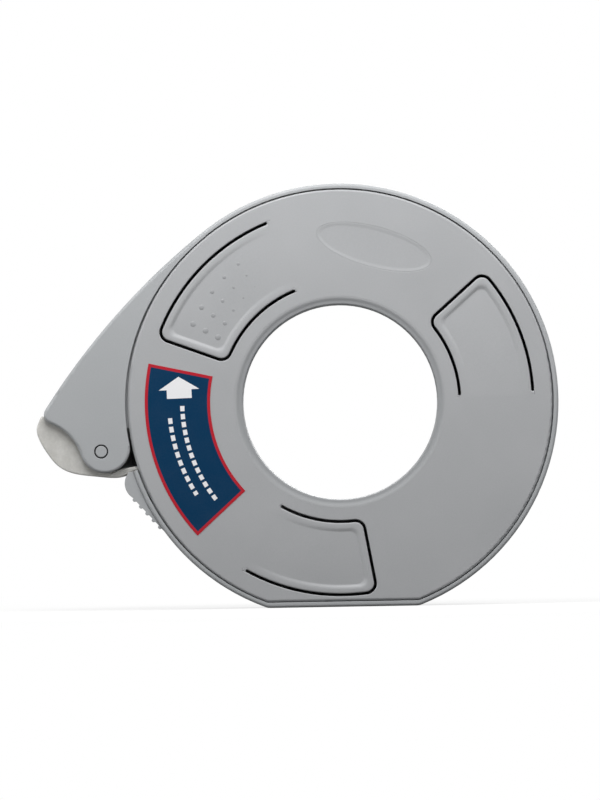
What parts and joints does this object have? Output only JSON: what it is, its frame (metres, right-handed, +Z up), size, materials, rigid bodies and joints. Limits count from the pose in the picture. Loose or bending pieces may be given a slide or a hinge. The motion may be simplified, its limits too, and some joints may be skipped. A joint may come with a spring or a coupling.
{
  "type": "masking tape dispenser",
  "caption": "Drum-shaped hand dispenser for masking tape, with an open hub, a pull-off cover with spring tabs, a toothed cutter in its nose and a sprung shoe that presses the tape on.",
  "frame": {"origin": "centre of the hub bore, half way through the drum's depth", "axes": "+Y along the hub bore towards the rear shell, so the pull-off cover faces -Y; +Z up from the flat foot; the nose with the cutter and the shoe points to -X"},
  "size_m": [0.1857, 0.0561, 0.1502],
  "materials": {
    "housing_plastic": "light grey moulded plastic, fine satin grain",
    "cover_plastic": "light grey moulded plastic, satin",
    "frosted_plastic": "frosted milky plastic",
    "label_film": "printed film, dark blue field with a red edge",
    "spring_wire": "spring wire",
    "blade_steel": "stamped strip",
    "clamp_steel": "zinc-plated bar",
    "screw_steel": "zinc-plated"
  },
  "bodies": {
    "housing": {"front_housing": "housing_plastic", "rear_housing": "housing_plastic", "housing_screws": "screw_steel", "thumb_grip": "housing_plastic", "shoe_pin": "housing_plastic", "shoe_spring": "spring_wire", "cutter_blade": "blade_steel", "blade_clamp": "clamp_steel", "blade_screws": "screw_steel"},
    "cover": {"front_cover": "cover_plastic", "push_label": "label_film"},
    "brake": {"brake_tab": "cover_plastic"},
    "right_guide": {"right_guide_tab": "cover_plastic"},
    "lower_guide": {"lower_guide_tab": "cover_plastic"},
    "shoe": {"applicator_shoe": "frosted_plastic"}
  },
  "joints": [
    {"name": "cover_pull", "type": "slide", "parent": "housing", "child": "cover", "axis": [0, -1, 0], "range_m": [0, 0.07]},
    {"name": "brake_press", "type": "hinge", "parent": "cover", "child": "brake", "pos_m": [-0.01916, -0.027, 0.05209], "axis": [0.3453, 0, -0.9385], "range_deg": [0, 3.5], "stiffness_Nm_per_rad": 2.4},
    {"name": "right_guide_flex", "type": "hinge", "parent": "cover", "child": "right_guide", "pos_m": [0.05549, -0.027, 0.00116], "axis": [-0.9998, 0, -0.0209], "range_deg": [0, 2.5], "stiffness_Nm_per_rad": 2.4},
    {"name": "lower_guide_flex", "type": "hinge", "parent": "cover", "child": "lower_guide", "pos_m": [-0.02875, -0.027, -0.04747], "axis": [0.518, 0, 0.8554], "range_deg": [0, 2.5], "stiffness_Nm_per_rad": 2.4},
    {"name": "shoe_swing", "type": "hinge", "parent": "housing", "child": "shoe", "pos_m": [-0.08504, 0, -0.01618], "axis": [0, -1, 0], "range_deg": [0, 28], "stiffness_Nm_per_rad": 0.0256, "springref_deg": -20.05, "deforming": ["shoe_spring"]}
  ]
}
